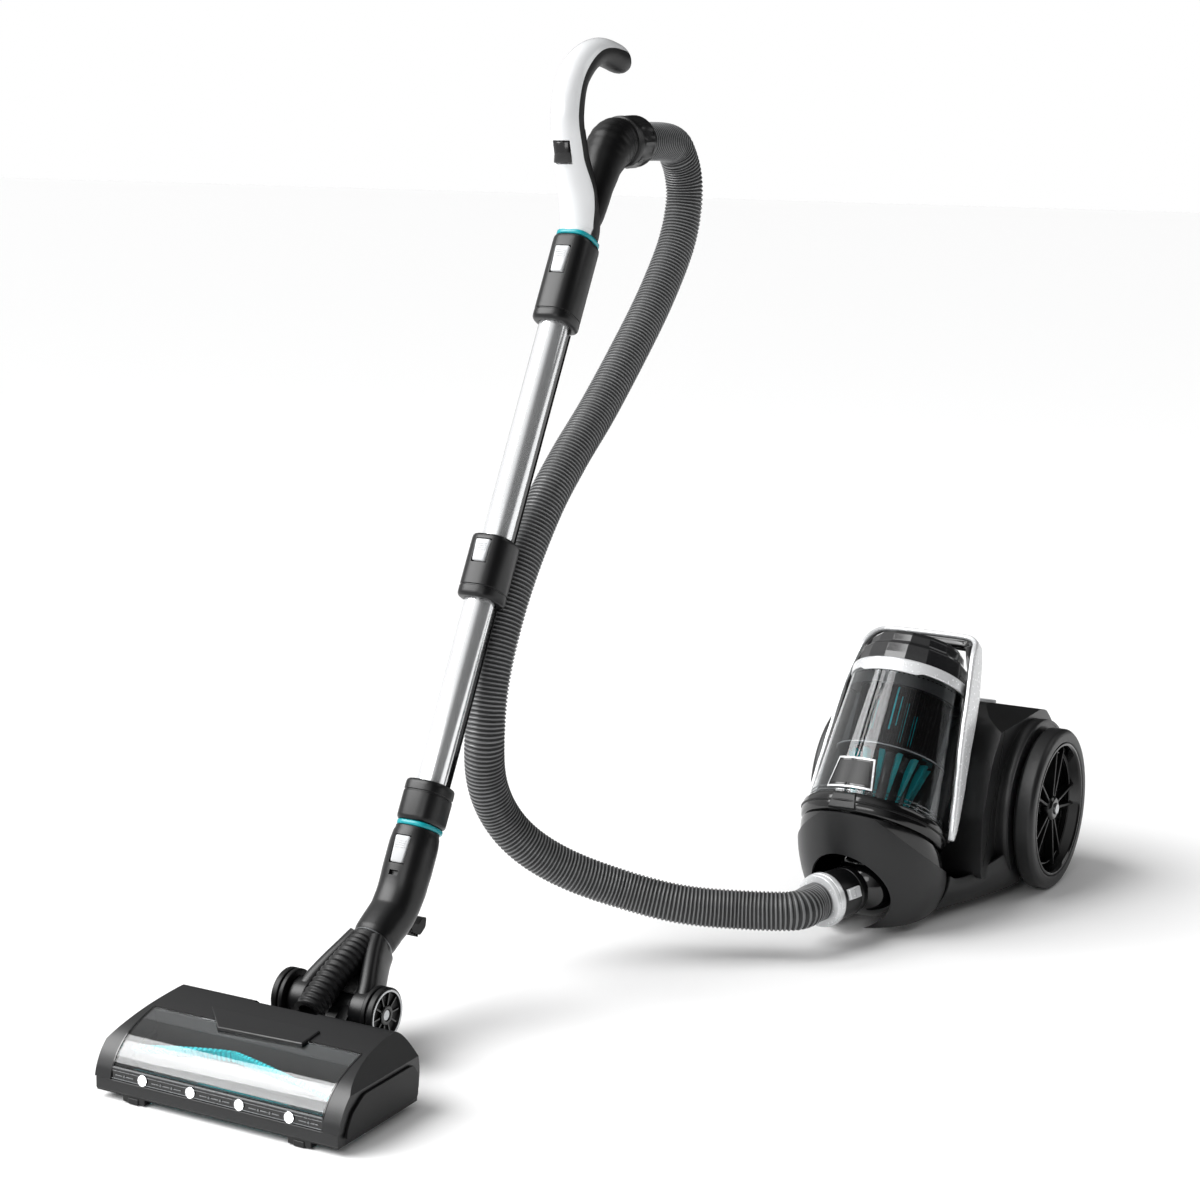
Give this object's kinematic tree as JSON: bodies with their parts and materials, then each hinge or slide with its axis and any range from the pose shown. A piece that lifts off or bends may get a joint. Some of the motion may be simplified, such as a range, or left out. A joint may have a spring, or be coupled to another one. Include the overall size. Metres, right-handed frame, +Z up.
{
  "type": "canister vacuum cleaner",
  "caption": "Bagless canister vacuum cleaner: tilted clear dust bin, big rear wheels, ribbed hose, hooked handle, chrome wand and powered floor head.",
  "frame": {"origin": "centre of the box of everything but the hose, on the floor", "axes": "+Z up; -Y is the front, the way the canister and the floor head face; +X is to the right as seen from the front"},
  "size_m": [0.5716, 1.159, 0.9748],
  "materials": {
    "charcoal_plastic": "fine satin moulded plastic",
    "black_plastic": "satin black",
    "white_plastic": "gloss white",
    "silver_plastic": "silver paint",
    "grey_plastic": "satin light grey",
    "teal_plastic": "teal",
    "hose_plastic": "grey ribbed",
    "chrome": "polished",
    "rubber": "soft black",
    "steel": "plated",
    "clear_plastic": "clear smoky plastic",
    "filter_foam": "filter foam"
  },
  "bodies": {
    "canister": {"chassis": "charcoal_plastic", "front_cowl": "charcoal_plastic", "body_shell": "charcoal_plastic", "inlet_socket": "black_plastic", "hose_connector": "black_plastic", "cord_gland": "rubber", "motor": "steel", "hose": "hose_plastic", "cuff_elbow": "black_plastic", "handle_shell": "white_plastic", "handle_grip": "rubber", "handle_ring": "teal_plastic"},
    "caster_fork": {"caster_fork": "black_plastic"},
    "caster_wheel": {"caster_wheel": "rubber"},
    "left_wheel": {"left_wheel": "black_plastic", "left_tyre": "rubber"},
    "right_wheel": {"right_wheel": "black_plastic", "right_tyre": "rubber"},
    "dust_bin": {"bin_base": "black_plastic", "bin_tank": "clear_plastic", "bin_band": "silver_plastic", "bin_lid": "charcoal_plastic", "cyclone_shroud": "black_plastic", "cyclone_fins": "teal_plastic", "bin_filter": "filter_foam"},
    "carry_handle": {"carry_handle": "silver_plastic"},
    "fan": {"fan_impeller": "grey_plastic"},
    "reel": {"cord_reel": "black_plastic"},
    "power_button": {"power_button": "grey_plastic"},
    "rewind_button": {"rewind_button": "grey_plastic"},
    "connector_ring": {"connector_ring": "silver_plastic"},
    "connector_latch": {"connector_latch": "grey_plastic"},
    "hose_cuff": {"hose_cuff": "black_plastic"},
    "handle_switch": {"handle_switch": "black_plastic"},
    "upper_wand": {"upper_socket": "charcoal_plastic", "upper_tube": "chrome", "upper_channel": "black_plastic", "mid_collar": "charcoal_plastic"},
    "upper_latch": {"upper_latch": "grey_plastic"},
    "mid_latch": {"mid_latch": "grey_plastic"},
    "lower_wand": {"lower_tube": "chrome", "lower_channel": "black_plastic", "lower_collar": "charcoal_plastic", "lower_ring": "teal_plastic"},
    "neck": {"neck": "charcoal_plastic"},
    "neck_latch": {"neck_latch": "grey_plastic"},
    "yoke": {"yoke": "charcoal_plastic", "yoke_axle": "steel", "inner_duct": "rubber"},
    "left_yoke_wheel": {"left_yoke_wheel": "black_plastic"},
    "right_yoke_wheel": {"right_yoke_wheel": "black_plastic"},
    "head": {"head_base": "charcoal_plastic", "head_cover": "charcoal_plastic", "head_window": "clear_plastic", "led_strip": "silver_plastic", "left_side_cover": "black_plastic", "right_side_cover": "black_plastic", "brush_motor": "steel", "drive_belt": "rubber"},
    "brush": {"brush_roll": "teal_plastic"}
  },
  "joints": [
    {"name": "left_wheel_spin", "type": "hinge", "parent": "canister", "child": "left_wheel", "pos_m": [0.0178, 0.4615, 0.094], "axis": [1, 0, 0], "continuous": true},
    {"name": "right_wheel_spin", "type": "hinge", "parent": "canister", "child": "right_wheel", "pos_m": [0.2738, 0.4615, 0.094], "axis": [1, 0, 0], "continuous": true},
    {"name": "caster_swivel", "type": "hinge", "parent": "canister", "child": "caster_fork", "pos_m": [0.1458, 0.2935, 0.03], "axis": [0, 0, 1], "continuous": true},
    {"name": "caster_roll", "type": "hinge", "parent": "caster_fork", "child": "caster_wheel", "pos_m": [0.1458, 0.2935, 0.014], "axis": [1, 0, 0], "continuous": true},
    {"name": "bin_lift", "type": "slide", "parent": "canister", "child": "dust_bin", "axis": [0, 0.5592, 0.829], "range_m": [0, 0.08]},
    {"name": "carry_handle_tip", "type": "hinge", "parent": "dust_bin", "child": "carry_handle", "pos_m": [0.1458, 0.26027, 0.10523], "axis": [1, 0, 0], "range_deg": [0, 40]},
    {"name": "fan_spin", "type": "hinge", "parent": "canister", "child": "fan", "pos_m": [0.1458, 0.4145, 0.155], "axis": [0, 1, 0], "continuous": true},
    {"name": "reel_spin", "type": "hinge", "parent": "canister", "child": "reel", "pos_m": [0.1458, 0.4545, 0.064], "axis": [0, 0, 1], "continuous": true},
    {"name": "power_press", "type": "slide", "parent": "canister", "child": "power_button", "axis": [0, -0.2577, -0.9662], "range_m": [0, 0.003], "stiffness_N_per_m": 400, "springref_m": -0.002},
    {"name": "rewind_press", "type": "slide", "parent": "canister", "child": "rewind_button", "axis": [0, -0.2577, -0.9662], "range_m": [0, 0.003], "stiffness_N_per_m": 400, "springref_m": -0.002},
    {"name": "ring_swivel", "type": "hinge", "parent": "canister", "child": "connector_ring", "pos_m": [0.13423, 0.13209, 0.05407], "axis": [-0.2478, -0.9687, -0.0113], "continuous": true},
    {"name": "connector_latch_press", "type": "slide", "parent": "canister", "child": "connector_latch", "axis": [-0.9229, 0.2396, -0.3014], "range_m": [0, 0.002], "stiffness_N_per_m": 400, "springref_m": -0.002},
    {"name": "cuff_swivel", "type": "hinge", "parent": "canister", "child": "hose_cuff", "pos_m": [-0.1432, 0.1885, 0.863], "axis": [0, 1, 0], "continuous": true},
    {"name": "switch_press", "type": "slide", "parent": "canister", "child": "handle_switch", "axis": [0, 1, 0], "range_m": [0, 0.002], "stiffness_N_per_m": 400, "springref_m": -0.002},
    {"name": "upper_wand_pull", "type": "slide", "parent": "canister", "child": "upper_wand", "axis": [0, -0.4879, -0.8729], "range_m": [0, 0.04]},
    {"name": "upper_latch_press", "type": "slide", "parent": "upper_wand", "child": "upper_latch", "axis": [0, 0.8729, -0.4879], "range_m": [0, 0.002], "stiffness_N_per_m": 400, "springref_m": -0.002},
    {"name": "mid_latch_press", "type": "slide", "parent": "upper_wand", "child": "mid_latch", "axis": [0, 0.8729, -0.4879], "range_m": [0, 0.002], "stiffness_N_per_m": 400, "springref_m": -0.002},
    {"name": "lower_wand_pull", "type": "slide", "parent": "upper_wand", "child": "lower_wand", "axis": [0, -0.4879, -0.8729], "range_m": [0, 0.03]},
    {"name": "neck_pull", "type": "slide", "parent": "lower_wand", "child": "neck", "axis": [0, -0.4879, -0.8729], "range_m": [0, 0.03]},
    {"name": "neck_latch_press", "type": "slide", "parent": "neck", "child": "neck_latch", "axis": [0, 0.8729, -0.4879], "range_m": [0, 0.002], "stiffness_N_per_m": 400, "springref_m": -0.002},
    {"name": "head_swivel", "type": "hinge", "parent": "neck", "child": "yoke", "pos_m": [-0.1432, -0.3239, 0.0968], "axis": [0, 0.8619, 0.507], "range_deg": [-45, 45]},
    {"name": "head_tilt", "type": "hinge", "parent": "yoke", "child": "head", "pos_m": [-0.1432, -0.3865, 0.053], "axis": [1, 0, 0], "range_deg": [-20, 20]},
    {"name": "left_yoke_wheel_spin", "type": "hinge", "parent": "yoke", "child": "left_yoke_wheel", "pos_m": [-0.1952, -0.3865, 0.053], "axis": [1, 0, 0], "continuous": true},
    {"name": "right_yoke_wheel_spin", "type": "hinge", "parent": "yoke", "child": "right_yoke_wheel", "pos_m": [-0.0912, -0.3865, 0.053], "axis": [1, 0, 0], "continuous": true},
    {"name": "brush_spin", "type": "hinge", "parent": "head", "child": "brush", "pos_m": [-0.1432, -0.5355, 0.031], "axis": [1, 0, 0], "continuous": true}
  ]
}
